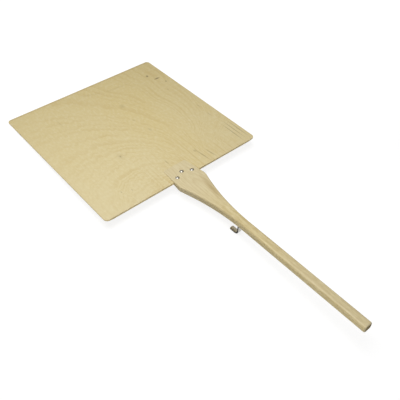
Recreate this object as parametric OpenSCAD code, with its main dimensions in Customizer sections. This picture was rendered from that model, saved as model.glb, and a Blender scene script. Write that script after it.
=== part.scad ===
// Pizza peel: a square birch plywood blade held in a slotted wooden handle by three rivets, with a
// bent steel strip under the handle that hangs it from a rail, blade down.
// +Y runs from the butt of the handle to the front of the blade, X across and Z up. The origin is
// under the middle of the whole length, level with the lowest point of the hook.

/* [Blade] */
// Width across the blade
blade_w = 470; // [350:5:600]
// Length from the rear edge to the front edge
blade_l = 470; // [350:5:600]
// Radius of the four corners
blade_corner_r = 10; // [4:1:40]
// Thickness of the face veneer and of the back veneer
face_ply_t = 0.85; // [0.6:0.05:1.6]
// Thickness of each of the three inner plies
inner_ply_t = 1.1; // [0.9:0.05:2]
// Thickness left at the front and side edges, above the bevel
edge_land = 2; // [1:0.1:3]
// Width of the bevel planed under the front and side edges
bevel_w = 20; // [8:1:40]

/* [Grip] */
// Length from the rear edge of the blade to the butt
handle_l = 550; // [350:2:1200]
// Width of the grip
grip_w = 22; // [18:0.5:30]
// Thickness of the grip
grip_t = 19.5; // [18:0.5:28]
// Radius of the grip's long edges
grip_edge_r = 5.5; // [2:0.5:7]
// Radius round the end of the butt
butt_r = 4; // [1:0.5:6]

/* [Paddle] */
// Width of the paddle where its shoulders start
paddle_w = 82; // [66:1:110]
// Distance from the blade's rear edge back to the shoulders
shoulder_back = 18; // [5:1:40]
// Radius of the shoulders
shoulder_r = 30; // [15:1:45]
// Radius of the hollow flare between the shoulders and the grip
flare_r = 580; // [250:10:800]
// Length of the tongue over the blade
tongue_l = 48; // [36:1:90]
// Width of the tongue at its tip
tongue_tip_w = 68; // [50:1:80]
// Radius of the tongue's front corners
tongue_corner_r = 3; // [1:0.5:8]
// Thickness of each cheek at the tip of the tongue
cheek_tip_t = 0.9; // [0.6:0.1:3]
// Radius of the tongue's long edges at the tip
tongue_edge_r = 0.6; // [0.3:0.1:1]
// Distance behind the blade's rear edge at which the handle reaches its full thickness
wedge_l = 60; // [30:2:90]
// Gap between the blade's rear edge and the floor of the slot
slot_gap = 0.3; // [0.1:0.1:1]

/* [Rivets] */
// Diameter of the rivet shanks
rivet_d = 4; // [3:0.1:5]
// Diameter of the rivet heads
rivet_head_d = 10.5; // [8:0.5:12]
// Height of the rivet heads, rim and dome together
rivet_head_h = 2.8; // [1.5:0.1:3.5]
// Height of the straight rim under each dome
rivet_rim_h = 0.5; // [0.2:0.1:1]
// Distance of the front rivet from the blade's rear edge
rivet_front = 18; // [17:1:24]
// Distance of the rear pair from the blade's rear edge
rivet_rear = 6; // [5:0.5:8]
// Distance between the rear pair
rivet_spread = 46; // [30:1:52]
// Depth that the heads and washers are let into the lowest side of their seats
seat_bite = 0.15; // [0.05:0.05:0.3]
// Diameter of the washers under the peened tails
washer_d = 10; // [8.5:0.5:12]
// Thickness of the washers
washer_t = 1.2; // [0.8:0.1:2]
// Diameter of the peened tails
tail_d = 6.6; // [5.6:0.1:7.5]
// Height of the peened tails, rim and dome together
tail_h = 1.6; // [1.2:0.1:2.5]

/* [Hook] */
// Width of the strip
strip_w = 11; // [8:0.5:14]
// Thickness of the strip
strip_t = 3.5; // [1.5:0.1:4]
// Distance from the blade's rear edge back to the rear face of the stem
hook_back = 193; // [190:1:260]
// Drop from the underside of the grip to the underside of the leg
hook_drop = 34; // [28:1:60]
// Length of the leg, from the rear face of the stem to the tip
leg_l = 28; // [20:1:60]
// Inner radius of the bend between stem and leg
leg_bend_r = 9; // [4:0.5:12]
// Inner radius of the bend between base and stem
base_bend_r = 3; // [2:0.5:5]
// Length of the base, from the rear face of the stem to its end
base_l = 46; // [40:1:80]
// Radius of the strip's end corners
strip_corner_r = 2.5; // [0.5:0.5:4]

/* [Hook screws] */
// Diameter of the screws
screw_d = 3.5; // [3:0.1:4.5]
// Length of the screws under the head
screw_l = 16; // [12:1:17]
// Length of the screws' points
screw_point_l = 3.5; // [2:0.5:5]
// Diameter of the pan heads
screw_head_d = 6.6; // [6:0.1:8]
// Height of the pan heads, rim and dome together
screw_head_h = 2.2; // [1.8:0.1:3]
// Height of the straight rim of the pan heads
screw_rim_h = 0.8; // [0.4:0.1:1]
// Distance between the screws
screw_spacing = 22; // [14:1:26]
// Distance of the rear screw from the end of the base
screw_margin = 9; // [7:1:12]
// Width of the arms of the cross recess
recess_w = 0.8; // [0.5:0.1:1.2]
// Length of the arms of the cross recess, tip to tip
recess_l = 3.6; // [2.5:0.1:4.5]
// Depth of the cross recess
recess_h = 1.2; // [0.6:0.1:1.5]

/* [Fits] */
// Radial clearance of rivets and screws in their holes
bore_gap = 0.1; // [0.05:0.05:0.2]
// Radial clearance of the rivet heads and washers in their seats
seat_gap = 0.3; // [0.1:0.05:0.5]

/* [Hidden] */
$fn = 96;

// How far a cutting shape runs past what it cuts
cut_over = 5;
// Steps round one edge of the handle, one corner or end of it, and along its straights and its flare
edge_steps = 5;
corner_steps = 4;
straight_steps = 8;
shoulder_steps = 6;
flare_steps = 14;

// Thickness of the blade, and the levels and places that everything else is set from
blade_t = 2 * face_ply_t + 3 * inner_ply_t;
overall_l = blade_l + handle_l;
rear_y = overall_l / 2 - blade_l;
tip_y = rear_y + tongue_l;
butt_y = rear_y - handle_l;
mid_z = hook_drop + grip_t / 2;
blade_top_z = mid_z + blade_t / 2;
blade_under_z = mid_z - blade_t / 2;
upper_cross_z = blade_top_z - face_ply_t;
core_z = upper_cross_z - inner_ply_t;
lower_cross_z = core_z - inner_ply_t;
back_z = lower_cross_z - inner_ply_t;

// The rivets' places: one in front, a pair behind it
rivet_places = [
    [0, rear_y + rivet_front],
    [rivet_spread / 2, rear_y + rivet_rear],
    [-rivet_spread / 2, rear_y + rivet_rear],
];
rivet_bore_d = rivet_d + 2 * bore_gap;

// The plan of the handle: a straight side from the tip, a shoulder arc, a hollow flare and the grip
shoulder_y = rear_y - shoulder_back;
side_lean = atan((paddle_w - tongue_tip_w) / 2 / (tip_y - shoulder_y));
shoulder_cx = paddle_w / 2 - shoulder_r * cos(side_lean);
shoulder_cy = shoulder_y - shoulder_r * sin(side_lean);
flare_cx = grip_w / 2 + flare_r;
neck_y = shoulder_cy - sqrt(pow(shoulder_r + flare_r, 2) - pow(flare_cx - shoulder_cx, 2));
flare_sweep = atan((shoulder_cy - neck_y) / (flare_cx - shoulder_cx));

// The handle's thickness grows on an S curve from the tip of the tongue to the grip
tip_half_t = blade_t / 2 + cheek_tip_t;
full_y = rear_y - wedge_l;
function rise(y) = min(max((tip_y - y) / (tip_y - full_y), 0), 1);
function ramp(y) = 3 * pow(rise(y), 2) - 2 * pow(rise(y), 3);
function half_t(y) = tip_half_t + (grip_t / 2 - tip_half_t) * ramp(y);
function edge_r(y) = tongue_edge_r + (grip_edge_r - tongue_edge_r) * ramp(y);

// Height of a rivet's seat above the middle of the blade: just under the cheek's lowest side there
function seat_z(y, d) = half_t(y + d / 2 + seat_gap) - seat_bite;

// The handle's stations from tip to butt: half width, place along Y, half thickness, edge radius
function station(half_w, y) = [half_w, y, half_t(y), edge_r(y)];
function side_x(y) = paddle_w / 2 + (shoulder_y - y) * tan(side_lean);
function corner_station(a) =
    let (y = tip_y - tongue_corner_r * (1 - sin(a)))
    station(side_x(y) - tongue_corner_r * (1 - cos(a)), y);
function straight_station(t) =
    let (y = (tip_y - tongue_corner_r) * (1 - t) + shoulder_y * t)
    station(side_x(y), y);
function shoulder_station(a) =
    station(shoulder_cx + shoulder_r * cos(a), shoulder_cy + shoulder_r * sin(a));
function flare_station(a) =
    station(flare_cx - flare_r * cos(a), neck_y + flare_r * sin(a));
function butt_station(a) =
    let (inset = butt_r * (1 - cos(a)))
    [
        grip_w / 2 - inset,
        butt_y + butt_r * (1 - sin(a)),
        grip_t / 2 - inset,
        max(grip_edge_r - inset, tongue_edge_r),
    ];
stations = concat(
    [for (i = [0 : corner_steps - 1]) corner_station(90 * (1 - i / corner_steps))],
    [for (i = [0 : straight_steps - 1]) straight_station(i / straight_steps)],
    [for (i = [0 : shoulder_steps - 1])
        shoulder_station(side_lean - (side_lean + flare_sweep) * i / shoulder_steps)],
    [for (i = [0 : flare_steps]) flare_station(flare_sweep * (1 - i / flare_steps))],
    [for (i = [0 : corner_steps]) butt_station(90 * i / corner_steps)]
);

// One ring of the handle: a rectangle with round edges, across the handle at a station
function ring(s) = [
    for (corner = [0 : 3], i = [0 : edge_steps])
        let (a = 90 * corner + 90 * i / edge_steps)
        let (side = corner == 0 || corner == 3 ? 1 : -1)
        let (level = corner < 2 ? 1 : -1)
        [
            side * (s[0] - s[3]) + s[3] * cos(a),
            s[1],
            mid_z + level * (s[2] - s[3]) + s[3] * sin(a),
        ]
];

// The rings of stations joined into one closed skin, with a flat cap at each end
module loft(stations) {
    rings = [for (s = stations) ring(s)];
    n = len(rings[0]);
    last = len(rings) - 1;
    walls = [
        for (k = [0 : last - 1], i = [0 : n - 1])
            let (a = k * n + i, b = k * n + (i + 1) % n)
            each [[a, b, b + n], [a, b + n, a + n]]
    ];
    tip_cap = [[for (i = [0 : n - 1]) n - 1 - i]];
    butt_cap = [[for (i = [0 : n - 1]) last * n + i]];
    polyhedron(points = [for (r = rings) each r], faces = concat(walls, tip_cap, butt_cap));
}

// A disc with a domed top: a straight rim, and a spherical cap on it
module domed_disc(d, h, rim) {
    cap_h = h - rim;
    cap_r = (pow(d / 2, 2) + pow(cap_h, 2)) / (2 * cap_h);
    cylinder(d = d, h = rim);
    translate([0, 0, rim]) intersection() {
        cylinder(d = d, h = cap_h);
        translate([0, 0, cap_h - cap_r]) sphere(r = cap_r);
    }
}

// A rectangle with round corners, in the middle of its own axes
module rounded_rectangle(w, l, r) {
    square([w - 2 * r, l], center = true);
    square([w, l - 2 * r], center = true);
    for (x = [-1, 1], y = [-1, 1])
        translate([x * (w / 2 - r), y * (l / 2 - r)]) circle(r = r);
}

// The wedge that the plane takes off under one edge, with that edge on the Y axis and the blade at +X
module bevel_wedge(length) {
    fall = (blade_t - edge_land) / bevel_w;
    high = blade_top_z - edge_land + fall * cut_over;
    low = blade_under_z - fall * cut_over;
    rotate([90, 0, 0])
        linear_extrude(length + 2 * cut_over, center = true)
            polygon([[-cut_over, high], [bevel_w + cut_over, low], [-cut_over, low]]);
}

// The three bevels under the blade, at the front and at both sides
module under_bevels() {
    mid_y = rear_y + blade_l / 2;
    translate([-blade_w / 2, mid_y, 0]) bevel_wedge(blade_l);
    translate([blade_w / 2, mid_y, 0]) rotate([0, 0, 180]) bevel_wedge(blade_l);
    translate([0, rear_y + blade_l, 0]) rotate([0, 0, -90]) bevel_wedge(blade_w);
}

// The holes for the rivets, right through blade and handle
module rivet_bores() {
    for (p = rivet_places)
        translate([p[0], p[1], mid_z])
            cylinder(d = rivet_bore_d, h = grip_t + 2 * cut_over, center = true);
}

// One ply of the blade, from its upper face down
module ply(top_z, thickness) {
    difference() {
        translate([0, rear_y + blade_l / 2, top_z - thickness])
            linear_extrude(thickness) rounded_rectangle(blade_w, blade_l, blade_corner_r);
        under_bevels();
        rivet_bores();
    }
}

// The pale face veneer that carries the pizza, grain along the peel
module face_ply() {
    color("#d7c89a") ply(blade_top_z, face_ply_t);
}

// The first crossband, grain across the peel
module upper_cross_ply() {
    color("#b59f76") ply(upper_cross_z, inner_ply_t);
}

// The middle ply, grain along the peel
module core_ply() {
    color("#cdbb8c") ply(core_z, inner_ply_t);
}

// The second crossband, grain across the peel
module lower_cross_ply() {
    color("#b59f76") ply(lower_cross_z, inner_ply_t);
}

// The back veneer, grain along the peel
module back_ply() {
    color("#d2c294") ply(back_z, face_ply_t);
}

// The flat seats that are cut for the rivet heads above and the washers below
module rivet_seats() {
    for (p = rivet_places) {
        translate([p[0], p[1], mid_z + seat_z(p[1], rivet_head_d)])
            cylinder(d = rivet_head_d + 2 * seat_gap, h = grip_t);
        translate([p[0], p[1], mid_z - seat_z(p[1], washer_d) - grip_t])
            cylinder(d = washer_d + 2 * seat_gap, h = grip_t);
    }
}

// Places one copy of its children at each hook screw, on the underside of the grip
module at_screws() {
    end_y = rear_y - hook_back - base_l;
    for (back = [screw_margin, screw_margin + screw_spacing])
        translate([0, end_y + back, hook_drop]) children();
}

// The handle: grip, hollow flare and paddle in one piece, slotted so that two feathered cheeks
// close over the blade
module handle() {
    slot_back = rear_y - slot_gap;
    color("#d3c49a") difference() {
        loft(stations);
        translate([-paddle_w / 2 - cut_over, slot_back, blade_under_z])
            cube([paddle_w + 2 * cut_over, tip_y - slot_back + cut_over, blade_t]);
        rivet_bores();
        rivet_seats();
        at_screws() translate([0, 0, -cut_over])
            cylinder(d = screw_d + 2 * bore_gap, h = screw_l - strip_t + bore_gap + cut_over);
    }
}

// Three round-headed rivets, peened over washers underneath
module blade_rivets() {
    color("#c9c6bf") for (p = rivet_places) {
        head_z = mid_z + seat_z(p[1], rivet_head_d);
        tail_z = mid_z - seat_z(p[1], washer_d) - washer_t;
        // The shank runs on into the rims of head and tail, so that each rivet is one solid
        translate([p[0], p[1], tail_z - rivet_rim_h])
            cylinder(d = rivet_d, h = head_z - tail_z + 2 * rivet_rim_h);
        translate([p[0], p[1], head_z]) domed_disc(rivet_head_d, rivet_head_h, rivet_rim_h);
        translate([p[0], p[1], tail_z]) mirror([0, 0, 1])
            domed_disc(tail_d, tail_h, rivet_rim_h);
    }
}

// The washers that the rivet tails are peened over
module rivet_washers() {
    color("#b8b4aa") for (p = rivet_places)
        translate([p[0], p[1], mid_z - seat_z(p[1], washer_d) - washer_t]) difference() {
            cylinder(d = washer_d, h = washer_t);
            translate([0, 0, -cut_over]) cylinder(d = rivet_bore_d, h = washer_t + 2 * cut_over);
        }
}

// A quarter of a flat ring, for a bend in the strip; dy and dz say which quarter
module bend(inner_r, dy, dz) {
    outer_r = inner_r + strip_t;
    intersection() {
        difference() {
            circle(r = outer_r);
            circle(r = inner_r);
        }
        translate([dy > 0 ? 0 : -outer_r, dz > 0 ? 0 : -outer_r]) square(outer_r);
    }
}

// The side view of the hook: base under the grip, stem down, leg forward under the blade end
module hook_profile() {
    stem_foot = strip_t + leg_bend_r;
    stem_head = hook_drop - strip_t - base_bend_r;
    translate([-base_l, hook_drop - strip_t]) square([base_l - base_bend_r, strip_t]);
    translate([-base_bend_r, stem_head]) bend(base_bend_r, 1, 1);
    translate([0, stem_foot]) square([strip_t, stem_head - stem_foot]);
    translate([stem_foot, stem_foot]) bend(leg_bend_r, -1, -1);
    translate([stem_foot, 0]) square([leg_l - stem_foot, strip_t]);
}

// The hanging hook: one steel strip, drilled for two screws and bent twice
module hanging_hook() {
    stem_y = rear_y - hook_back;
    color("#8a8577") difference() {
        intersection() {
            translate([0, stem_y, 0]) rotate([90, 0, 90])
                linear_extrude(strip_w, center = true) hook_profile();
            translate([0, stem_y + (leg_l - base_l) / 2, 0])
                linear_extrude(hook_drop)
                    rounded_rectangle(strip_w, leg_l + base_l, strip_corner_r);
        }
        at_screws() cylinder(d = screw_d + 2 * bore_gap, h = 4 * strip_t, center = true);
    }
}

// The two pan-head wood screws that hold the hook
module hook_screws() {
    shank_l = screw_l - screw_point_l;
    color("#9c988c") at_screws() translate([0, 0, -strip_t]) {
        difference() {
            mirror([0, 0, 1]) domed_disc(screw_head_d, screw_head_h, screw_rim_h);
            for (turn = [0, 90]) rotate(turn)
                translate([-recess_l / 2, -recess_w / 2, -screw_head_h])
                    cube([recess_l, recess_w, recess_h]);
        }
        cylinder(d = screw_d, h = shank_l);
        translate([0, 0, shank_l]) cylinder(d1 = screw_d, d2 = 0, h = screw_point_l);
    }
}

face_ply();
upper_cross_ply();
core_ply();
lower_cross_ply();
back_ply();
handle();
blade_rivets();
rivet_washers();
hanging_hook();
hook_screws();
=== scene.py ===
import math

import bmesh
import bpy
from mathutils import Matrix, Vector


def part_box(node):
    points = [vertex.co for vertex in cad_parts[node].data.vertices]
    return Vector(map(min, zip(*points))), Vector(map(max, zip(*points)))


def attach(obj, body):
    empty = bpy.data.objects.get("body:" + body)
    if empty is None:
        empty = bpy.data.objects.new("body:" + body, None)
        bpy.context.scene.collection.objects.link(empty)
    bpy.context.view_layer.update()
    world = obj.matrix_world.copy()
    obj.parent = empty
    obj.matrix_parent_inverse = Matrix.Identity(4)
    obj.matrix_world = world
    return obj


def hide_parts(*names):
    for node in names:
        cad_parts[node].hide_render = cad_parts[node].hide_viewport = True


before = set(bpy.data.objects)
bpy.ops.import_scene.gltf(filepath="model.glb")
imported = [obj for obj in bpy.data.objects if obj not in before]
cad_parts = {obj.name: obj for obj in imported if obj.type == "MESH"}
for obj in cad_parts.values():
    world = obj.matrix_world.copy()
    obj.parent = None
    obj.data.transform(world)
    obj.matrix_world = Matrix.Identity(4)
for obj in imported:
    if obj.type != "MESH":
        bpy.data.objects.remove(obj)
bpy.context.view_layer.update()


# Face and back veneers of the blade
# The outer plies of a birch plywood sheet, peeled from a turning log, so that the growth rings spread
# into wide wavy arches. They are glued over the crossbands, sanded along the grain and left bare.

def linear(hex_colour):
    """The linear colour with alpha that a socket wants, from an sRGB hex value."""
    channels = [int(hex_colour[i:i + 2], 16) / 255 for i in (1, 3, 5)]
    return [c / 12.92 if c <= 0.04045 else ((c + 0.055) / 1.055) ** 2.4 for c in channels] + [1.0]


def add_node(tree, kind, inputs, **settings):
    """Adds a shader node and returns its outputs; an input is a value or another node's output."""
    # Inputs go by name or by number: a Map Range turns its range 1 to 2 into 3 to 4, or into 0 to 1 where
    # these aren't set, and a Mix has its two numbers at 2 and 3 and its two colours at 6 and 7
    made = tree.nodes.new("ShaderNode" + kind)
    for name, value in settings.items():
        setattr(made, name, value)
    for key, value in inputs.items():
        if isinstance(value, bpy.types.NodeSocket):
            tree.links.new(value, made.inputs[key])
        else:
            made.inputs[key].default_value = value
    return made.outputs


def start_material(name):
    """A new material with an empty node tree, its Object coordinates in millimetres and its normal."""
    material = bpy.data.materials.new(name)
    material.use_nodes = True
    tree = material.node_tree
    tree.nodes.clear()
    where = add_node(tree, "TexCoord", {})
    mm = add_node(tree, "VectorMath", {0: where["Object"], "Scale": 1000.0}, operation="SCALE")[0]
    return material, tree, mm, where["Normal"]


def dress(node, material):
    """Gives a CAD node's object this material alone."""
    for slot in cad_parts[node].material_slots:
        slot.material = material


blade_lo, blade_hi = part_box("face_ply")
rear_y = blade_lo.y
rear_mm = rear_y * 1000
front_mm = blade_hi.y * 1000
side_mm = blade_hi.x * 1000
top_mm = blade_hi.z * 1000

# The figure fans out from one point and bends over to another: mm from the middle of the rear edge
face_figure = ((40, -24), (-170, -47))
back_figure = ((-75, -30), (120, -60))

# Natural marks on the face: place from the middle of the rear edge, width, length (mm), turn, depth
face_marks = (
    (185, 405, 9, 13, -20, 1.0),
    (201, 378, 8, 24, 90, 1.0),
    (213, 350, 7, 9, 0, 0.7),
    (192, 314, 4, 6, 0, 0.6),
    (-83, 160, 5, 10, 0, 0.55),
    (-83, 160, 24, 40, 0, 0.12),
    (-6, 70, 3, 26, 0, 0.5),
    (-154, 55, 3, 9, 0, 0.5),
    (-130, 45, 3, 9, 0, 0.5),
    (203, 50, 4, 105, 0, 0.55),
    (214, 58, 4, 115, 0, 0.55),
    (225, 52, 4, 105, 0, 0.55),
    (209, 197, 5, 22, 0, 0.3),
    (207, 150, 5, 26, 0, 0.3),
    (82, 33, 5, 62, 6, 0.5),
    (104, 26, 5, 48, 8, 0.45),
    (77, 58, 12, 14, 0, 0.3),
    (0, 433, 8, 90, 67, 0.12),
    (80, 413, 8, 90, 86, 0.12),
    (42, 330, 22, 26, 0, 0.18),
    (30, 259, 6, 16, 30, 0.25),
    (40, 199, 10, 22, 0, 0.2),
    (-132, 370, 6, 55, 0, 0.12),
)

# A length in mm that has no end within the wood
endless_mm = 1e6


def add_mark(tree, mm, wood, place, size, turn, depth, stain="#6f5f42"):
    """Darkens the wood in one soft oval: its place and size in mm, its turn about Z in degrees."""
    mapping = {
        "Vector": mm,
        "Location": place,
        "Rotation": (0, 0, math.radians(turn)),
        "Scale": [length / 2 for length in size],
    }
    oval = add_node(tree, "Mapping", mapping, vector_type="TEXTURE")[0]
    spot = add_node(tree, "TexGradient", {0: oval}, gradient_type="SPHERICAL")["Fac"]
    shade = add_node(tree, "Math", {0: spot, 1: depth}, operation="MULTIPLY")[0]
    return add_node(tree, "Mix", {0: shade, 6: wood, 7: linear(stain)}, data_type="RGBA")[2]


def ring_edge(tree, count, start, peak):
    """The dark line that ends each ring: it deepens from start to peak, shares of the ring, and stops."""
    part = add_node(tree, "Math", {0: count}, operation="FRACT")[0]
    darken = add_node(tree, "MapRange", {0: part, 1: start, 2: peak}, interpolation_type="SMOOTHSTEP")[0]
    let_go = add_node(tree, "MapRange", {0: part, 1: 1.0, 2: peak}, interpolation_type="SMOOTHSTEP")[0]
    return add_node(tree, "Math", {0: darken, 1: let_go}, operation="MULTIPLY")[0]


def darken_ends(tree, normal, grain_axis, wood, share, end_colour):
    """Darkens the wood where its fibres are cut across and drink the light."""
    facing = add_node(tree, "SeparateXYZ", {0: normal})[grain_axis]
    end_grain = add_node(tree, "Math", {0: facing}, operation="ABSOLUTE")[0]
    end_share = add_node(tree, "Math", {0: end_grain, 1: share}, operation="MULTIPLY")[0]
    return add_node(tree, "Mix", {0: end_share, 6: wood, 7: linear(end_colour)}, data_type="RGBA")[2]


def finish_wood(tree, wood, rough, relief, strength):
    """Leaves the wood bare: hardly lustrous, with its grain standing up by up to 0.2 mm."""
    bump = add_node(tree, "Bump", {"Height": relief, "Strength": strength, "Distance": 0.0002})[0]
    surface = {"Base Color": wood, "Roughness": rough, "Specular IOR Level": 0.3, "Normal": bump}
    shader = add_node(tree, "BsdfPrincipled", surface)[0]
    add_node(tree, "OutputMaterial", {"Surface": shader})


def figure_rings(tree, mm, place, figure):
    """Counts the rings of a veneer's figure, in lines that fan out and bend over into wavy arches."""
    # The lines drift slowly and ripple along their length, by up to 12 mm and 8 mm either way
    drift_mm = 60.0
    ripple_mm = 40.0
    drift_size = add_node(tree, "VectorMath", {0: mm, 1: (1 / 160, 1 / 160, 0)}, operation="MULTIPLY")[0]
    drift = add_node(tree, "TexNoise", {"Vector": drift_size, "Scale": 1.0, "Detail": 1.0})["Fac"]
    ripple_size = add_node(tree, "VectorMath", {0: mm, 1: (1 / 17, 1 / 50, 0)}, operation="MULTIPLY")[0]
    ripple = add_node(tree, "TexNoise", {"Vector": ripple_size, "Scale": 1.0, "Detail": 3.0})["Fac"]
    across = add_node(tree, "Math", {0: drift, 1: drift_mm, 2: place["X"]}, operation="MULTIPLY_ADD")[0]
    along = add_node(tree, "Math", {0: ripple, 1: ripple_mm, 2: place["Y"]}, operation="MULTIPLY_ADD")[0]

    # The angles from the figure's two points give the lines, and a share of the fan's lines ends in the
    # second point. A fan that starts on the left is mirrored.
    ending_share = 0.7
    angles = []
    for x, y in figure:
        from_x = add_node(tree, "Math", {0: across, 1: x + drift_mm / 2}, operation="SUBTRACT")[0]
        from_y = add_node(tree, "Math", {0: along, 1: rear_mm + y + ripple_mm / 2}, operation="SUBTRACT")[0]
        angles.append(add_node(tree, "Math", {0: from_y, 1: from_x}, operation="ARCTAN2")[0])
    if figure[0][0] < figure[1][0]:
        angles = [add_node(tree, "Math", {0: math.pi, 1: a}, operation="SUBTRACT")[0] for a in angles]
    lines = {0: angles[1], 1: -ending_share, 2: angles[0]}
    spread = add_node(tree, "Math", lines, operation="MULTIPLY_ADD")[0]

    # The rings are tight in the fan and open out into wide arches, as they are counted by one over the
    # root of the spread. A little is added to the spread, because they would be endless at zero.
    least_spread = 0.3
    rings_at_one = 62.0
    opened = add_node(tree, "Math", {0: spread, 1: least_spread}, operation="ADD")[0]
    thinned = add_node(tree, "Math", {0: opened, 1: -0.5}, operation="POWER")[0]
    return add_node(tree, "Math", {0: thinned, 1: -rings_at_one}, operation="MULTIPLY")[0]


def fan_streaks(tree, mm, fan_point):
    """Streaks about 5 mm wide near the fan's point, where it is too tight to show as lines."""
    full_streak_mm = 80.0
    last_streak_mm = 175.0
    x, y = fan_point
    point = (x, rear_mm + y, top_mm)
    from_point = add_node(tree, "VectorMath", {0: mm, 1: point}, operation="DISTANCE")["Value"]
    streak_range = {0: from_point, 1: last_streak_mm, 2: full_streak_mm, 4: 0.4}
    streak_depth = add_node(tree, "MapRange", streak_range)[0]
    streak_size = add_node(tree, "VectorMath", {0: mm, 1: (1 / 5, 1 / 110, 0)}, operation="MULTIPLY")[0]
    streak = add_node(tree, "TexNoise", {"Vector": streak_size, "Scale": 1.0, "Detail": 1.0})["Fac"]
    return add_node(tree, "MapRange", {0: streak, 1: 0.48, 2: 0.68, 4: streak_depth})[0]


def yellowing_and_painted_sheen(tree, place, patch):
    """How yellow the sheet is: more to its front and right, away from a painted sheen, and in one band right
    of the middle.
    """
    # Each mm forward or to the right adds a share; the paler rear left is a painted sheen
    forward_share = 0.0016
    right_share = 0.00064
    forward = {0: place["Y"], 1: forward_share, 2: -0.15 - rear_mm * forward_share}
    yellow = add_node(tree, "Math", forward, operation="MULTIPLY_ADD")[0]
    yellow = add_node(tree, "Math", {0: place["X"], 1: right_share, 2: yellow}, operation="MULTIPLY_ADD")[0]
    yellow = add_node(tree, "Math", {0: patch, 1: 0.6, 2: yellow}, operation="MULTIPLY_ADD")[0]

    # The band's place and half width, and how far from its middle it has faded out
    band_x = 61.0
    band_half = 20.0
    band_fade = 100.0
    from_band = add_node(tree, "Math", {0: place["X"], 1: band_x}, operation="SUBTRACT")[0]
    off_band = add_node(tree, "Math", {0: from_band}, operation="ABSOLUTE")[0]
    band_share = {0: off_band, 1: band_fade, 2: band_half, 4: 0.35}
    band = add_node(tree, "MapRange", band_share, interpolation_type="SMOOTHSTEP")[0]
    return add_node(tree, "Math", {0: yellow, 1: band}, operation="ADD", use_clamp=True)[0]


def dark_rim(tree, place):
    """The narrow rim along the front and the sides, darker than the rest of the face."""
    front_rim = 8.0
    side_rim = 3.0
    from_middle = add_node(tree, "Math", {0: place["X"]}, operation="ABSOLUTE")[0]
    at_side = add_node(tree, "MapRange", {0: from_middle, 1: side_mm - side_rim, 2: side_mm, 4: 0.35})[0]
    at_front = add_node(tree, "MapRange", {0: place["Y"], 1: front_mm - front_rim, 2: front_mm, 4: 0.6})[0]
    return add_node(tree, "Math", {0: at_side, 1: at_front}, operation="MAXIMUM")[0]


def birch_veneer(name, figure, marks):
    """Sanded rotary-cut birch: pale, hardly lustrous, with faint ring lines in a fan and in wavy arches."""
    material, tree, mm, normal = start_material(name)
    place = add_node(tree, "SeparateXYZ", {0: mm})
    count = figure_rings(tree, mm, place, figure)

    # Each ring darkens slowly and ends in a sharp line; rings are of uneven width and strength,
    # and calm towards the left edge
    uneven_by = 3.0
    calm_start = 125 - side_mm
    calm_end = 25 - side_mm
    uneven = add_node(tree, "TexNoise", {"W": count, "Scale": 0.4}, noise_dimensions="1D")["Fac"]
    uneven_count = add_node(tree, "Math", {0: uneven, 1: uneven_by, 2: count}, operation="MULTIPLY_ADD")[0]
    line = ring_edge(tree, uneven_count, start=0.35, peak=0.92)
    patch_size = add_node(tree, "VectorMath", {0: mm, 1: (1 / 45, 1 / 80, 0)}, operation="MULTIPLY")[0]
    patch = add_node(tree, "TexNoise", {"Vector": patch_size, "Scale": 1.0, "Detail": 3.0})["Fac"]
    line_depth = add_node(tree, "MapRange", {0: patch, 1: 0.35, 2: 0.65, 3: 0.07, 4: 0.28})[0]
    calm = add_node(tree, "MapRange", {0: place["X"], 1: calm_end, 2: calm_start, 3: 0.4})[0]
    line_depth = add_node(tree, "Math", {0: line_depth, 1: calm}, operation="MULTIPLY")[0]
    ring_line = add_node(tree, "Math", {0: line, 1: line_depth}, operation="MULTIPLY")[0]

    # Fibres, drawn 2.5 mm wide where real ones are under 1 mm, so that they show,
    # and pale mottles of about 6 by 11 mm
    fibre_size = add_node(tree, "VectorMath", {0: mm, 1: (1 / 2.5, 1 / 60, 0)}, operation="MULTIPLY")[0]
    fibre = add_node(tree, "TexNoise", {"Vector": fibre_size, "Scale": 1.0, "Detail": 2.0})["Fac"]
    mottle_size = add_node(tree, "VectorMath", {0: mm, 1: (1 / 6, 1 / 11, 0)}, operation="MULTIPLY")[0]
    mottle = add_node(tree, "TexNoise", {"Vector": mottle_size, "Scale": 1.0, "Detail": 2.0})["Fac"]

    # The sheet's colour with its painted sheen, and the fibres, mottles and ring lines over it
    tones = {0: yellowing_and_painted_sheen(tree, place, patch), 6: linear("#d6c89c"), 7: linear("#d3c18b")}
    wood = add_node(tree, "Mix", tones, data_type="RGBA")[2]
    fibre_share = add_node(tree, "MapRange", {0: fibre, 1: 0.4, 2: 0.75, 4: 0.22})[0]
    wood = add_node(tree, "Mix", {0: fibre_share, 6: wood, 7: linear("#cbb788")}, data_type="RGBA")[2]
    mottle_share = add_node(tree, "MapRange", {0: mottle, 1: 0.45, 2: 0.75, 4: 0.32})[0]
    wood = add_node(tree, "Mix", {0: mottle_share, 6: wood, 7: linear("#e3d9b6")}, data_type="RGBA")[2]
    line_colour = linear("#bba062")
    wood = add_node(tree, "Mix", {0: ring_line, 6: wood, 7: line_colour}, data_type="RGBA")[2]
    streaks = fan_streaks(tree, mm, figure[0])
    wood = add_node(tree, "Mix", {0: streaks, 6: wood, 7: line_colour}, data_type="RGBA")[2]

    # The natural marks, the rim and the cut ends
    for x, y, width, length, turn, depth in marks:
        wood = add_mark(tree, mm, wood, (x, rear_mm + y, 0), (width, length, endless_mm), turn, depth)
    rim = dark_rim(tree, place)
    wood = add_node(tree, "Mix", {0: rim, 6: wood, 7: linear("#b09a6c")}, data_type="RGBA")[2]
    wood = darken_ends(tree, normal, "Y", wood, share=0.15, end_colour="#c4a86c")

    relief = add_node(tree, "Math", {0: fibre, 1: ring_line}, operation="SUBTRACT")[0]
    rough = add_node(tree, "MapRange", {0: fibre, 3: 0.48, 4: 0.62})[0]
    finish_wood(tree, wood, rough, relief, strength=0.25)
    return material


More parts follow.
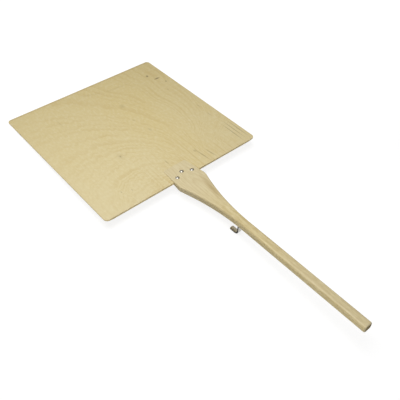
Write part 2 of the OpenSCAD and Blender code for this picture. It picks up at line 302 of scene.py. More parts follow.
dress("face_ply", birch_veneer("rotary_cut_birch_face", face_figure, face_marks))
dress("back_ply", birch_veneer("rotary_cut_birch_back", back_figure, ()))


# Inner plies of the blade
# Three thicker birch veneers: the crossbands with their grain across the peel, the core with its grain
# along it. They show only as stripes at the sawn edges and on the bevels planed under the blade.

def birch_ply(name, node, grain_axis):
    """Sawn birch veneer: streaks along its grain, dark where cut across it, with thin brown glue lines."""
    low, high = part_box(node)
    middle_mm = (low.z + high.z) * 500
    half_mm = (high.z - low.z) * 500
    material, tree, mm, normal = start_material(name)

    # Streaks of 3 mm, and of half that in the ply's thickness, which run on for 40 mm along the grain
    streak = [1 / 3.0, 1 / 3.0, 1 / 1.5]
    streak["XYZ".index(grain_axis)] = 1 / 40
    streak_size = add_node(tree, "VectorMath", {0: mm, 1: streak}, operation="MULTIPLY")[0]
    fibre = add_node(tree, "TexNoise", {"Vector": streak_size, "Scale": 1.0, "Detail": 3.0})["Fac"]
    tones = {0: fibre, 6: linear("#d9c08a"), 7: linear("#efdba8")}
    wood = add_node(tree, "Mix", tones, data_type="RGBA")[2]
    wood = darken_ends(tree, normal, grain_axis, wood, share=0.3, end_colour="#c0a366")

    # The glue lines: how deep each one goes into the ply, and how far it fades either way
    glue_mm = 0.12
    fade_mm = 0.04
    glue_start = half_mm - glue_mm
    level = add_node(tree, "SeparateXYZ", {0: mm})["Z"]
    from_middle = add_node(tree, "Math", {0: level, 1: middle_mm}, operation="SUBTRACT")[0]
    depth = add_node(tree, "Math", {0: from_middle}, operation="ABSOLUTE")[0]
    glue_share = {0: depth, 1: glue_start - fade_mm, 2: glue_start + fade_mm, 4: 0.3}
    glue = add_node(tree, "MapRange", glue_share)[0]
    wood = add_node(tree, "Mix", {0: glue, 6: wood, 7: linear("#6f5a37")}, data_type="RGBA")[2]

    rough = add_node(tree, "MapRange", {0: fibre, 3: 0.55, 4: 0.72})[0]
    finish_wood(tree, wood, rough, fibre, strength=0.3)
    return material


for ply, ply_grain in (("upper_cross_ply", "X"), ("core_ply", "Y"), ("lower_cross_ply", "X")):
    dress(ply, birch_ply("sawn_birch_" + ply, ply, ply_grain))


# Handle
# Grip, hollow flare and paddle shaped from one length of birch, thinned on an S curve to a tongue and
# slotted there, so that two feathered cheeks close over the blade. Spokeshaved, sanded and left bare.

handle_lo, handle_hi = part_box("handle")
tip_y = handle_hi.y
butt_y = handle_lo.y
butt_mm = butt_y * 1000
mid_z = (handle_lo.z + handle_hi.z) / 2
blade_top = blade_hi.z
blade_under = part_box("back_ply")[0].z
grip_w = 0.022
grip_t = handle_hi.z - handle_lo.z
grip_edge_r = 0.0055
butt_r = 0.004
paddle_w = 0.082
shoulder_y = rear_y - 0.018
shoulder_r = 0.030
flare_r = 0.580
tongue_tip_w = 0.068
tongue_corner_r = 0.003
tongue_edge_r = 0.0006
tip_cheek_t = 0.0009
tip_half_t = (blade_top - blade_under) / 2 + tip_cheek_t
full_y = rear_y - 0.060
slot_gap = 0.0003

# The shoulder's arc rounds into the flare's hollow arc, which ends at the neck
side_lean = math.atan((paddle_w - tongue_tip_w) / 2 / (tip_y - shoulder_y))
shoulder_cx = paddle_w / 2 - shoulder_r * math.cos(side_lean)
shoulder_cy = shoulder_y - shoulder_r * math.sin(side_lean)
flare_cx = grip_w / 2 + flare_r
neck_y = shoulder_cy - math.sqrt((shoulder_r + flare_r) ** 2 - (flare_cx - shoulder_cx) ** 2)
flare_sweep = math.atan((shoulder_cy - neck_y) / (flare_cx - shoulder_cx))
flare_y = neck_y + flare_r * math.sin(flare_sweep)


def half_width(y):
    """Half the handle's width at a place along it."""
    if y >= shoulder_y:
        return paddle_w / 2 - (y - shoulder_y) * math.tan(side_lean)
    if y >= flare_y:
        return shoulder_cx + math.sqrt(shoulder_r ** 2 - (y - shoulder_cy) ** 2)
    if y >= neck_y:
        return flare_cx - math.sqrt(flare_r ** 2 - (y - neck_y) ** 2)
    return grip_w / 2


def thickening(y):
    """How far the S curve has risen at a place: 0 at the tongue's tip, 1 along the grip."""
    rise = min(max((tip_y - y) / (tip_y - full_y), 0), 1)
    return 3 * rise ** 2 - 2 * rise ** 3


def half_thickness(y):
    """Half the handle's thickness at a place along it."""
    return tip_half_t + (grip_t / 2 - tip_half_t) * thickening(y)


def edge_radius(y):
    """The radius of the handle's rounded long edges at a place along it."""
    return tongue_edge_r + (grip_edge_r - tongue_edge_r) * thickening(y)


def select(piece, kind, test):
    """Selects, in edit mode, just the faces or edges of the piece that pass the test."""
    bpy.ops.mesh.select_mode(type=kind)
    bpy.ops.mesh.select_all(action="DESELECT")
    shape = bmesh.from_edit_mesh(piece.data)
    for item in shape.faces if kind == "FACE" else shape.edges:
        if test(item):
            item.select_set(True)
    bmesh.update_edit_mesh(piece.data)


def apply_modifier(piece, kind, **settings):
    """Adds a modifier to the active piece, sets it and applies it."""
    modifier = piece.modifiers.new(kind.lower(), kind)
    for name, value in settings.items():
        setattr(modifier, name, value)
    bpy.ops.object.modifier_apply(modifier=modifier.name)


def cut_away(piece, cutter):
    """Takes the cutter's shape out of the piece, and removes the cutter."""
    bpy.ops.object.select_all(action="DESELECT")
    bpy.context.view_layer.objects.active = piece
    piece.select_set(True)
    apply_modifier(piece, "BOOLEAN", operation="DIFFERENCE", solver="EXACT", object=cutter)
    bpy.data.objects.remove(cutter)


# A block of the first few millimetres, drawn out station by station to the butt
paddle_steps = 60
grip_steps = 8
stations = [tip_y + (neck_y - tip_y) * i / paddle_steps for i in range(paddle_steps + 1)]
stations += [neck_y + (butt_y - neck_y) * i / grip_steps for i in range(1, grip_steps + 1)]
bpy.ops.object.select_all(action="DESELECT")
bpy.ops.mesh.primitive_cube_add(size=1, location=(0, (stations[0] + stations[1]) / 2, mid_z))
handle = bpy.context.object
handle.name = "handle_shaped"
handle.scale = (tongue_tip_w, stations[0] - stations[1], 2 * tip_half_t)
bpy.ops.object.transform_apply(location=True, rotation=True, scale=True)
bpy.ops.object.mode_set(mode="EDIT")
select(handle, "FACE", lambda face: face.normal.y < -0.9)
section_w = tongue_tip_w / 2
section_t = tip_half_t
for i, station_y in enumerate(stations[1:], start=1):
    if i > 1:
        step = (0, station_y - stations[i - 1], 0)
        bpy.ops.mesh.extrude_region_move(TRANSFORM_OT_translate={"value": step})
    grow = (half_width(station_y) / section_w, 1, half_thickness(station_y) / section_t)
    bpy.ops.transform.resize(value=grow, center_override=(0, station_y, mid_z))
    section_w = half_width(station_y)
    section_t = half_thickness(station_y)

# Places closer than the first of these are one place, and an edge that rises less than the second is level
same_place = 0.00001
level_rise = 0.0001

# The tongue's front corners
select(handle, "EDGE", lambda edge: all(abs(v.co.y - tip_y) < same_place for v in edge.verts)
       and abs(edge.verts[0].co.z - edge.verts[1].co.z) > level_rise)
bpy.ops.mesh.bevel(offset=tongue_corner_r, segments=4, affect="EDGES")
bpy.ops.object.mode_set(mode="OBJECT")

# The long edges are rounded more and more from the tip to the grip, and the butt all round
weights = handle.data.attributes.new("bevel_weight_edge", "FLOAT", "EDGE")
for edge in handle.data.edges:
    a, b = (handle.data.vertices[i].co for i in edge.vertices)
    edge_y = (a.y + b.y) / 2
    if edge_y > stations[1] + same_place and abs(a.z - b.z) < level_rise:
        weights.data[edge.index].value = tongue_edge_r / grip_edge_r
    elif abs(a.y - b.y) > same_place:
        weights.data[edge.index].value = edge_radius(edge_y) / grip_edge_r
    elif abs(edge_y - butt_y) < same_place:
        weights.data[edge.index].value = butt_r / grip_edge_r
rounding = {"width": grip_edge_r, "segments": 5, "limit_method": "WEIGHT"}
apply_modifier(handle, "BEVEL", **rounding, use_clamp_overlap=False, loop_slide=False)

# The slot for the blade, made with a cutter that reaches past the tongue's tip and sides
cutter_spare = 0.010
slot_length = tip_y - rear_y + cutter_spare
bpy.ops.mesh.primitive_cube_add(size=1, location=(0, rear_y - slot_gap + slot_length / 2, mid_z))
slot_cutter = bpy.context.object
slot_cutter.scale = (paddle_w + cutter_spare, slot_length, blade_top - blade_under)
cut_away(handle, slot_cutter)

# The rivets' places, and the flat seats cut for their heads above and their washers below
rivet_head_d = 0.0105
washer_d = 0.010
seat_gap = 0.0003
seat_bite = 0.00015
front_rivet_y = rear_y + 0.018
side_rivet_y = rear_y + 0.006
side_rivet_x = 0.023
rivet_places = [(0, front_rivet_y), (side_rivet_x, side_rivet_y), (-side_rivet_x, side_rivet_y)]


def seat_height(y, diameter):
    """Height of a rivet's seat above or below the blade's middle, just under the cheek's low side."""
    return half_thickness(y + diameter / 2 + seat_gap) - seat_bite


for x, y in rivet_places:
    for side, seat_d in ((1, rivet_head_d), (-1, washer_d)):
        seat_place = (x, y, mid_z + side * (seat_height(y, seat_d) + grip_t / 2))
        seat_r = seat_d / 2 + seat_gap
        bpy.ops.mesh.primitive_cylinder_add(vertices=48, radius=seat_r, depth=grip_t, location=seat_place)
        cut_away(handle, bpy.context.object)

smooth_angle = math.radians(32)
bpy.ops.object.shade_smooth_by_angle(angle=smooth_angle)
apply_modifier(handle, "WEIGHTED_NORMAL", keep_sharp=True)


def growth_rings(tree, mm):
    """Counts the rings of the handle's wood, round a pith that lies above it and nearly along it."""
    ring_gap = 4.2
    pith = (4.0, 0.0, mid_z * 1000 + 42.0)
    pith_lean = (math.radians(0.8), 0, math.radians(0.7))
    mapping = {"Vector": mm, "Location": pith, "Rotation": pith_lean, "Scale": (1, endless_mm, 1)}
    from_pith = add_node(tree, "Mapping", mapping, vector_type="TEXTURE")[0]
    distance = add_node(tree, "VectorMath", {0: from_pith}, operation="LENGTH")["Value"]

    # They drift by up to 1.2 mm either way, in waves of 18 mm across the wood and 110 mm along it
    drift_mm = 6.0
    drift_scale = (1 / 18, 1 / 110, 1 / 18)
    drift_size = add_node(tree, "VectorMath", {0: mm, 1: drift_scale}, operation="MULTIPLY")[0]
    drift = add_node(tree, "TexNoise", {"Vector": drift_size, "Scale": 1.0, "Detail": 3.0})["Fac"]
    rings = add_node(tree, "Math", {0: drift, 1: drift_mm, 2: distance}, operation="MULTIPLY_ADD")[0]
    return add_node(tree, "Math", {0: rings, 1: ring_gap}, operation="DIVIDE")[0]


def add_flecks(tree, mm, wood, back):
    """Short flecks of about 4 by 13 mm, pale and dark: back is 0 on the paddle, where they are faint."""
    fleck_size = add_node(tree, "VectorMath", {0: mm, 1: (1 / 4, 1 / 13, 1 / 4)}, operation="MULTIPLY")[0]
    fleck = add_node(tree, "TexNoise", {"Vector": fleck_size, "Scale": 1.0, "Detail": 2.0})["Fac"]
    fleck_depth = add_node(tree, "MapRange", {0: back, 3: 0.08, 4: 0.38})[0]
    pale_fleck = add_node(tree, "MapRange", {0: fleck, 1: 0.5, 2: 0.75, 4: fleck_depth})[0]
    wood = add_node(tree, "Mix", {0: pale_fleck, 6: wood, 7: linear("#e8dcb6")}, data_type="RGBA")[2]
    dark_fleck = add_node(tree, "MapRange", {0: fleck, 1: 0.46, 2: 0.25, 4: fleck_depth})[0]
    return add_node(tree, "Mix", {0: dark_fleck, 6: wood, 7: linear("#a8935f")}, data_type="RGBA")[2]


def grip_tone_and_painted_light(tree, wood, along, facing):
    """The grip's painted side shade, its paler rear top with painted edge highlights, and its paler butt."""
    # Painted shade on the sides, deepening towards the paddle
    unshaded_y = rear_mm - 370
    darkest_y = rear_mm - 70
    sideways = add_node(tree, "Math", {0: facing["X"]}, operation="ABSOLUTE")[0]
    flank = add_node(tree, "MapRange", {0: sideways, 1: 0.45, 2: 0.8})[0]
    side_shade_depth = add_node(tree, "MapRange", {0: along, 1: unshaded_y, 2: darkest_y, 4: 0.38})[0]
    painted_side_shade = add_node(tree, "Math", {0: flank, 1: side_shade_depth}, operation="MULTIPLY")[0]
    wood = add_node(tree, "Mix", {0: painted_side_shade, 6: wood, 7: linear("#a5936a")}, data_type="RGBA")[2]

    # The rear half is paler on top, and a painted highlight runs along its two rounded edges
    pale_start_y = rear_mm - 240
    pale_full_y = rear_mm - 380
    pale_top_and_edge_highlight = add_node(tree, "MapRange", {0: along, 1: pale_start_y, 2: pale_full_y})[0]
    upward = add_node(tree, "MapRange", {0: facing["Z"], 1: 0.5, 2: 0.8})[0]
    edge = add_node(tree, "MapRange", {0: sideways, 1: 0.1, 2: 0.4, 3: 0.14, 4: 0.24})[0]
    pale_top_and_edge_highlight = add_node(tree, "Math", {0: pale_top_and_edge_highlight, 1: upward}, operation="MULTIPLY")[0]
    pale_top_and_edge_highlight = add_node(tree, "Math", {0: pale_top_and_edge_highlight, 1: edge}, operation="MULTIPLY")[0]
    wood = add_node(tree, "Mix", {0: pale_top_and_edge_highlight, 6: wood, 7: linear("#efe4c8")}, data_type="RGBA")[2]

    # The last few centimetres are paler all round
    paler_end_start = butt_mm + 45
    paler_end_full = butt_mm + 5
    paler_end = add_node(tree, "MapRange", {0: along, 1: paler_end_start, 2: paler_end_full, 4: 0.15})[0]
    return add_node(tree, "Mix", {0: paler_end, 6: wood, 7: linear("#efdfb2")}, data_type="RGBA")[2]


def solid_birch(name):
    """Sanded solid birch: growth rings that show as long lines, pale on the paddle, yellower on the grip."""
    material, tree, mm, normal = start_material(name)
    line = ring_edge(tree, growth_rings(tree, mm), start=0.3, peak=0.9)
    ring_line = add_node(tree, "Math", {0: line, 1: 0.27}, operation="MULTIPLY")[0]

    # Fibres, drawn 1.6 mm wide where real ones are under 1 mm, so that they show,
    # and streaks of 3.5 mm on the grip
    fibre_scale = (1 / 1.6, 1 / 70, 1 / 1.6)
    fibre_size = add_node(tree, "VectorMath", {0: mm, 1: fibre_scale}, operation="MULTIPLY")[0]
    fibre = add_node(tree, "TexNoise", {"Vector": fibre_size, "Scale": 1.0, "Detail": 2.0})["Fac"]
    streak_scale = (1 / 3.5, 1 / 90, 1 / 3.5)
    streak_size = add_node(tree, "VectorMath", {0: mm, 1: streak_scale}, operation="MULTIPLY")[0]
    streak = add_node(tree, "TexNoise", {"Vector": streak_size, "Scale": 1.0, "Detail": 2.0})["Fac"]
    streak = add_node(tree, "MapRange", {0: streak, 1: 0.3, 2: 0.7})[0]
    grain = add_node(tree, "Mix", {0: 0.4, 2: fibre, 3: streak})[0]
    pale_tones = {0: fibre, 6: linear("#c3b285"), 7: linear("#e1d5b0")}
    pale = add_node(tree, "Mix", pale_tones, data_type="RGBA")[2]
    yellow_tones = {0: grain, 6: linear("#b9a672"), 7: linear("#dfcf9f")}
    yellow = add_node(tree, "Mix", yellow_tones, data_type="RGBA")[2]

    # The pale tones of the paddle turn into the yellow ones of the grip along the flare
    pale_y = rear_mm - 30
    yellow_y = rear_mm - 190
    along = add_node(tree, "SeparateXYZ", {0: mm})["Y"]
    behind = {0: along, 1: pale_y, 2: yellow_y}
    back = add_node(tree, "MapRange", behind, interpolation_type="SMOOTHSTEP")[0]
    wood = add_node(tree, "Mix", {0: back, 6: pale, 7: yellow}, data_type="RGBA")[2]
    wood = add_node(tree, "Mix", {0: ring_line, 6: wood, 7: linear("#b9a274")}, data_type="RGBA")[2]

    facing = add_node(tree, "SeparateXYZ", {0: normal})
    wood = add_flecks(tree, mm, wood, back)
    wood = grip_tone_and_painted_light(tree, wood, along, facing)

    # A brown streak along the flare's right side, and two pin knots on the left side of the grip:
    # their places from the blade's rear edge and from the handle's middle height
    flare_streak = (16.5, rear_mm - 72, 0)
    wood = add_mark(tree, mm, wood, flare_streak, (20, 130, endless_mm), -10, 0.45, stain="#8a681a")
    grip_side_mm = -grip_w * 500
    for y, level in ((-248.6, -2.75), (-359.7, -5.45)):
        knot = (grip_side_mm, rear_mm + y, mid_z * 1000 + level)
        wood = add_mark(tree, mm, wood, knot, (9, 7, 4), 0, 0.9)

    # A painted highlight pales the butt's rounded rim; its end grain drinks the light and shows the rings
    rim = add_node(tree, "MapRange", {0: facing["Y"], 1: -0.2, 2: -0.5, 4: 0.2})[0]
    wood = add_node(tree, "Mix", {0: rim, 6: wood, 7: linear("#ece3cb")}, data_type="RGBA")[2]
    end_tones = {0: line, 6: linear("#9c8546"), 7: linear("#6c5728")}
    end_wood = add_node(tree, "Mix", end_tones, data_type="RGBA")[2]
    end_grain = add_node(tree, "MapRange", {0: facing["Y"], 1: -0.65, 2: -1.0, 4: 0.85})[0]
    wood = add_node(tree, "Mix", {0: end_grain, 6: wood, 7: end_wood}, data_type="RGBA")[2]

    relief = add_node(tree, "Math", {0: fibre, 1: ring_line}, operation="SUBTRACT")[0]
    sanded = add_node(tree, "MapRange", {0: fibre, 3: 0.45, 4: 0.6})[0]
    rough = add_node(tree, "Math", {0: sanded, 1: end_grain}, operation="MAXIMUM")[0]
    finish_wood(tree, wood, rough, relief, strength=0.25)
    return material


handle.data.materials.append(solid_birch("sanded_solid_birch"))
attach(handle, "root")
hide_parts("handle")


# Rivets
# Three round-headed steel rivets through cheeks and blade, the front one shorter than the other two.
# Their heads were formed in a die and polished, and their tails are peened over washers underneath.

head_h = 0.0028
rim_h = 0.0005
shank_d = 0.004
tail_d = 0.0066
tail_h = 0.0016
tail_rings = 7
washer_t = 0.0012
merge_gap = 0.000001


def dome_radius(diameter, height):
    """The radius of the sphere that a dome is a cap of."""
    return ((diameter / 2) ** 2 + height ** 2) / (2 * height)


def draw_out(drop, ratio, centre):
    """Extrudes the selected loop down by drop, then scales it about a centre on the rivet's axis."""
    bpy.ops.mesh.extrude_region_move(TRANSFORM_OT_translate={"value": (0, 0, -drop)})
    bpy.ops.transform.resize(value=(ratio, ratio, 1), center_override=centre)


def bright_steel(name, roughness):
    """Bright steel: a grey mirror that fine wiping marks dull a little, white only under the lamp."""
    material, tree, mm, _ = start_material(name)

    # The marks are drawn 0.4 mm wide and 3 mm long, coarser than real ones, so that they show
    wipe_scale = (1 / 0.4, 1 / 3, 1 / 0.8)
    wipe_size = add_node(tree, "VectorMath", {0: mm, 1: wipe_scale}, operation="MULTIPLY")[0]
    wipe = add_node(tree, "TexNoise", {"Vector": wipe_size, "Scale": 1.0, "Detail": 3.0})["Fac"]
    tones = {0: wipe, 6: linear("#7d796f"), 7: linear("#97938a")}
    metal = add_node(tree, "Mix", tones, data_type="RGBA")[2]
    rough = add_node(tree, "MapRange", {0: wipe, 3: roughness * 0.8, 4: roughness * 1.3})[0]
    bump = add_node(tree, "Bump", {"Height": wipe, "Strength": 0.1, "Distance": 0.00005})[0]
    surface = {"Base Color": metal, "Metallic": 1.0, "Roughness": rough, "Normal": bump}
    shader = add_node(tree, "BsdfPrincipled", surface)[0]
    add_node(tree, "OutputMaterial", {"Surface": shader})
    return material


rivets = []
for name, (x, y) in zip(("front", "right"), rivet_places):
    seat = mid_z + seat_height(y, rivet_head_d)
    tail_seat = mid_z - seat_height(y, washer_d) - washer_t

    # The domed head is the top of a sphere, cut off above its straight rim
    cap_r = dome_radius(rivet_head_d, head_h - rim_h)
    crown = (x, y, seat + head_h - cap_r)
    bpy.ops.object.select_all(action="DESELECT")
    bpy.ops.mesh.primitive_uv_sphere_add(segments=48, ring_count=64, radius=cap_r, location=crown)
    rivet = bpy.context.object
    rivet.name = "rivet_" + name
    bpy.ops.object.transform_apply(location=True, rotation=True, scale=True)
    bpy.ops.object.mode_set(mode="EDIT")
    bpy.ops.mesh.bisect(plane_co=(x, y, seat + rim_h), plane_no=(0, 0, 1), clear_inner=True)

    # From there it is drawn out down its axis: rim, shank, the tail's rim and the peened dome
    axis = (x, y, seat)
    draw_out(rim_h, 1, axis)
    draw_out(0, shank_d / rivet_head_d, axis)
    draw_out(seat - tail_seat, 1, axis)
    draw_out(0, tail_d / shank_d, axis)
    draw_out(rim_h, 1, axis)
    tail_cap = tail_h - rim_h
    tail_r = dome_radius(tail_d, tail_cap)
    ring_r = tail_d / 2
    fallen = 0
    for i in range(1, tail_rings):
        depth = tail_cap * (1 - (1 - i / tail_rings) ** 2)
        next_r = math.sqrt(tail_r ** 2 - (tail_r - tail_cap + depth) ** 2)
        draw_out(depth - fallen, next_r / ring_r, axis)
        ring_r = next_r
        fallen = depth
    bpy.ops.mesh.edge_face_add()

    bpy.ops.mesh.select_all(action="SELECT")
    bpy.ops.mesh.remove_doubles(threshold=merge_gap)
    bpy.ops.mesh.normals_make_consistent(inside=False)
    bpy.ops.object.mode_set(mode="OBJECT")
    bpy.ops.object.shade_smooth_by_angle(angle=smooth_angle)
    rivets.append(rivet)

# The left rivet is a copy of the right one
bpy.ops.object.duplicate()
left_rivet = bpy.context.object
left_rivet.name = "rivet_left"
left_rivet.location.x = -2 * side_rivet_x
bpy.ops.object.transform_apply(location=True, rotation=True, scale=True)
rivets.append(left_rivet)

rivet_metal = bright_steel("polished_steel", 0.16)
for rivet in rivets:
    rivet.data.materials.append(rivet_metal)
    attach(rivet, "root")
    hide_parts("blade_rivets")


# Washers
# Three stamped steel washers in seats under the lower cheek. The rivet tails are peened over them.
# They were tumbled and not polished, so they are duller than the heads.

dress("rivet_washers", bright_steel("tumbled_steel", 0.38))


# Hanging hook
# One bright steel strip with rounded ends, drilled for two screws and bent twice over a bar: a base
# under the grip, a stem and a leg that hooks over a rail.

hook_lo, hook_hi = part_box("hanging_hook")
strip_w = hook_hi.x - hook_lo.x
strip_t = 0.0035
leg_l = 0.028
leg_bend_r = 0.009
base_bend_r = 0.003
strip_corner_r = 0.0025
strip_edge_r = 0.0003
screw_hole_r = 0.00185
screw_places = (0.009, 0.031)
cutter_l = 0.010
bend_steps = 10
stem_y = hook_hi.y - leg_l
base_straight = stem_y - base_bend_r - hook_lo.y
base_z = hook_hi.z - strip_t / 2

# The base, bent down into the stem, which is bent forward into the leg
bpy.ops.object.select_all(action="DESELECT")
bpy.ops.mesh.primitive_cube_add(size=1, location=(0, hook_lo.y + base_straight / 2, base_z))
hook = bpy.context.object
hook.name = "hook_strip"
hook.scale = (strip_w, base_straight, strip_t)
bpy.ops.object.transform_apply(location=True, rotation=True, scale=True)
bpy.ops.object.mode_set(mode="EDIT")
select(hook, "FACE", lambda face: face.normal.y > 0.9)
base_bend = (0, stem_y - base_bend_r, hook_hi.z - strip_t - base_bend_r)
bpy.ops.mesh.spin(steps=bend_steps, angle=math.radians(90), center=base_bend, axis=(1, 0, 0))
leg_bend = (0, stem_y + strip_t + leg_bend_r, hook_lo.z + strip_t + leg_bend_r)
stem_drop = base_bend[2] - leg_bend[2]
bpy.ops.mesh.extrude_region_move(TRANSFORM_OT_translate={"value": (0, 0, -stem_drop)})
bpy.ops.mesh.spin(steps=bend_steps, angle=math.radians(-90), center=leg_bend, axis=(1, 0, 0))
leg_straight = hook_hi.y - leg_bend[1]
bpy.ops.mesh.extrude_region_move(TRANSFORM_OT_translate={"value": (0, leg_straight, 0)})

# The corners at both ends, the screw holes, and the sharpness taken off all edges
select(hook, "EDGE", lambda edge: abs(edge.verts[0].co.z - edge.verts[1].co.z) > strip_t * 0.9
       and all(v.co.y > hook_hi.y - same_place or v.co.y < hook_lo.y + same_place for v in edge.verts))
bpy.ops.mesh.bevel(offset=strip_corner_r, segments=5, affect="EDGES")
bpy.ops.mesh.select_all(action="SELECT")
bpy.ops.mesh.remove_doubles(threshold=merge_gap)
bpy.ops.mesh.normals_make_consistent(inside=False)
bpy.ops.object.mode_set(mode="OBJECT")
for from_end in screw_places:
    hole = (0, hook_lo.y + from_end, base_z)
    bpy.ops.mesh.primitive_cylinder_add(vertices=32, radius=screw_hole_r, depth=cutter_l, location=hole)
    cut_away(hook, bpy.context.object)
sharp_angle = math.radians(40)
edge_rounding = {"width": strip_edge_r, "segments": 2, "limit_method": "ANGLE"}
apply_modifier(hook, "BEVEL", **edge_rounding, angle_limit=sharp_angle)
bpy.ops.object.shade_smooth_by_angle(angle=sharp_angle)


def rolled_steel(name):
    """Steel strip: bright outside, painted shade under it, half matt as rolled inside, dark on its sheared
    edges.
    """
    material, tree, mm, normal = start_material(name)

    # The rolling lines are drawn 0.5 mm wide, coarser than real ones, so that they show
    streak_scale = (1 / 0.5, 1 / 25, 1 / 25)
    streak_size = add_node(tree, "VectorMath", {0: mm, 1: streak_scale}, operation="MULTIPLY")[0]
    streak = add_node(tree, "TexNoise", {"Vector": streak_size, "Scale": 1.0, "Detail": 3.0})["Fac"]
    rolled_tones = {0: streak, 6: linear("#948c78"), 7: linear("#b2a98f")}
    rolled = add_node(tree, "Mix", rolled_tones, data_type="RGBA")[2]

    # The strip's inner side faces forward or up, its outer side back or down, brightest behind the stem
    facing = add_node(tree, "SeparateXYZ", {0: normal})
    inward = add_node(tree, "Math", {0: facing["Y"], 1: facing["Z"]}, operation="ADD")[0]
    outside = add_node(tree, "MapRange", {0: inward, 1: -0.3, 2: -0.6})[0]
    # Where the outer side faces down, under the base, the lower bend and the leg, it is darker: painted
    # shade
    upright = add_node(tree, "MapRange", {0: facing["Y"], 1: -0.88, 2: -0.98})[0]
    outer_tones = {0: upright, 6: linear("#6b685d"), 7: linear("#bebcb4")}
    outer_with_painted_shade = add_node(tree, "Mix", outer_tones, data_type="RGBA")[2]
    metal = add_node(tree, "Mix", {0: outside, 6: rolled, 7: outer_with_painted_shade}, data_type="RGBA")[2]
    sideways = add_node(tree, "Math", {0: facing["X"]}, operation="ABSOLUTE")[0]
    sheared = add_node(tree, "MapRange", {0: sideways, 1: 0.4, 2: 0.7})[0]
    metal = add_node(tree, "Mix", {0: sheared, 6: metal, 7: linear("#2c2a24")}, data_type="RGBA")[2]
    rolled_rough = add_node(tree, "MapRange", {0: streak, 3: 0.26, 4: 0.42})[0]
    rough = add_node(tree, "Mix", {0: outside, 2: rolled_rough, 3: 0.16})[0]
    bump = add_node(tree, "Bump", {"Height": streak, "Strength": 0.1, "Distance": 0.0001})[0]
    surface = {"Base Color": metal, "Metallic": 1.0, "Roughness": rough, "Normal": bump}
    shader = add_node(tree, "BsdfPrincipled", surface)[0]
    add_node(tree, "OutputMaterial", {"Surface": shader})
    return material


hook.data.materials.append(rolled_steel("rolled_steel_strip"))
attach(hook, "root")
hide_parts("hanging_hook")


# Hook screws
# Two cross-recessed pan-head wood screws, zinc plated steel, driven up through the hook's base into
# the grip.

def zinc_plate(name):
    """Bright zinc plating: pale grey steel with a faint bloom in clouds of 1.25 mm."""
    material, tree, mm, _ = start_material(name)
    bloom = add_node(tree, "TexNoise", {"Vector": mm, "Scale": 1 / 1.25, "Detail": 3.0})["Fac"]
    tones = {0: bloom, 6: linear("#a5a299"), 7: linear("#c4c2ba")}
    metal = add_node(tree, "Mix", tones, data_type="RGBA")[2]
    rough = add_node(tree, "MapRange", {0: bloom, 3: 0.25, 4: 0.45})[0]
    surface = {"Base Color": metal, "Metallic": 1.0, "Roughness": rough}
    shader = add_node(tree, "BsdfPrincipled", surface)[0]
    add_node(tree, "OutputMaterial", {"Surface": shader})
    return material


dress("hook_screws", zinc_plate("zinc_plated_steel"))


# Floor
# A plain white sheet. The peel lies on the hook's leg and on the line where the blade's front bevel
# starts, so the sheet slopes to touch both. To the camera and in reflections it is white, with only a
# faint shadow, and it fades into the white room.

floor_size = 40.0
sheet_gap = 0.0003
bevel_w = 0.020
rest_y = blade_hi.y - bevel_w
foot_y = hook_hi.y - leg_straight / 2
floor_slope = math.atan((blade_under - hook_lo.z) / (rest_y - foot_y))
floor_place = (0, foot_y, -sheet_gap)
bpy.ops.object.select_all(action="DESELECT")
bpy.ops.mesh.primitive_plane_add(size=floor_size, location=floor_place, rotation=(floor_slope, 0, 0))
floor = bpy.context.object
floor.name = "floor"


def in_view(tree):
    """1 where the camera sees a thing, by itself or in metal or glass, and 0 where it only gives light."""
    ray = add_node(tree, "LightPath", {})
    mirrors = {0: ray["Is Glossy Ray"], 1: ray["Is Transmission Ray"]}
    mirrored = add_node(tree, "Math", mirrors, operation="MAXIMUM")[0]
    return add_node(tree, "Math", {0: ray["Is Camera Ray"], 1: mirrored}, operation="MAXIMUM")[0]


# The white shown is a little under 1 round the peel, where the lamps add the rest, and 1 far from it
near_mm = 520.0
far_mm = 1200.0
floor_material, tree, mm, _ = start_material("white_sheet")
sheet = add_node(tree, "BsdfDiffuse", {"Color": linear("#eeeeec")})[0]
shadow = add_node(tree, "BsdfDiffuse", {"Color": linear("#828282")})[0]
away = add_node(tree, "VectorMath", {0: mm}, operation="LENGTH")["Value"]
glow_range = {0: away, 1: near_mm, 2: far_mm, 3: 0.86, 4: 1.0}
glow = add_node(tree, "MapRange", glow_range, interpolation_type="SMOOTHSTEP")[0]
white = add_node(tree, "Emission", {"Strength": glow})[0]
shown = add_node(tree, "AddShader", {0: shadow, 1: white})[0]
mixed = add_node(tree, "MixShader", {0: in_view(tree), 1: sheet, 2: shown})[0]
add_node(tree, "OutputMaterial", {"Surface": mixed})
floor.data.materials.append(floor_material)


# Light
# One big softbox over the peel, a little to its left, gives the soft fall-off over the blade and the
# bright line on the grip's near edge. A small one low beside the butt lifts the grip's near side there,
# and a white room fills the rest.

def softbox(name, place, aim, size, power):
    """A square area light at a place, turned to face a point."""
    lamp = bpy.data.lights.new(name, "AREA")
    lamp.shape = "SQUARE"
    lamp.size = size
    lamp.energy = power
    stand = bpy.data.objects.new(name, lamp)
    bpy.context.scene.collection.objects.link(stand)
    stand.location = place
    stand.visible_camera = False
    stand.rotation_euler = (Vector(aim) - Vector(place)).to_track_quat("-Z", "Y").to_euler()


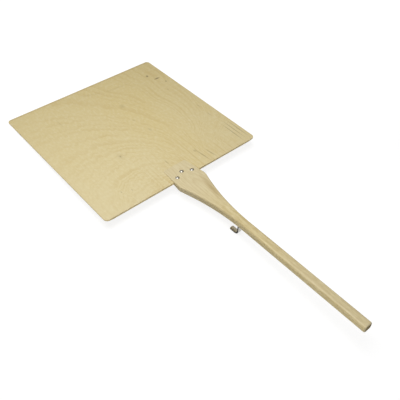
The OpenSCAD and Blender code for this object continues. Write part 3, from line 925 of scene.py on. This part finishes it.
softbox("key_softbox", place=(-0.22, 0.05, 1.25), aim=(0, 0.15, 0.05), size=1.0, power=16.2)
softbox("butt_softbox", place=(-0.27, -0.47, 0.06), aim=(0, -0.47, 0.045), size=0.15, power=0.11)

# A dark upright flag on the right, which shows only in reflections, gives the rivet heads their dark sides
flag_place = (0.5, 0.45, 0.1)
flag_height = 0.32
flag_length = 1.6
bpy.ops.object.select_all(action="DESELECT")
bpy.ops.mesh.primitive_plane_add(size=1, location=flag_place, rotation=(0, math.radians(90), 0))
flag = bpy.context.object
flag.name = "dark_flag"
flag.scale = (flag_height, flag_length, 1)
flag.visible_camera = False
flag.visible_diffuse = False
flag.visible_shadow = False
flag_material, tree, *_ = start_material("black_cloth")
shader = add_node(tree, "BsdfDiffuse", {"Color": linear("#1c1b1a")})[0]
add_node(tree, "OutputMaterial", {"Surface": shader})
flag.data.materials.append(flag_material)

room = bpy.data.worlds.new("white_room")
room.use_nodes = True
bpy.context.scene.world = room
tree = room.node_tree
tree.nodes.clear()
strength = add_node(tree, "MapRange", {0: in_view(tree), 3: 0.12, 4: 1.0})[0]
sky = add_node(tree, "Background", {"Color": (1, 1, 1, 1), "Strength": strength})[0]
add_node(tree, "OutputWorld", {"Surface": sky})


# Camera
# It looks down over the near left corner of the blade, with the handle running to the lower right.

camera_aim = Vector((-0.0278, rear_y - 0.0837, blade_top))
camera_distance = 1.2864
camera_heading = math.radians(41.82)
camera_down = math.radians(46.06)
camera_roll = math.radians(1.49)
turn = Matrix.Rotation(-camera_heading, 4, "Z")
turn = turn @ Matrix.Rotation(math.radians(90) - camera_down, 4, "X")
turn = turn @ Matrix.Rotation(camera_roll, 4, "Z")
lens = bpy.data.cameras.new("camera")
lens.sensor_width = 36.0
lens.lens = 49.435
camera = bpy.data.objects.new("camera", lens)
bpy.context.scene.collection.objects.link(camera)
camera.matrix_world = Matrix.Translation(camera_aim + turn @ Vector((0, 0, camera_distance))) @ turn
bpy.context.scene.camera = camera
bpy.context.scene.view_settings.view_transform = "Standard"
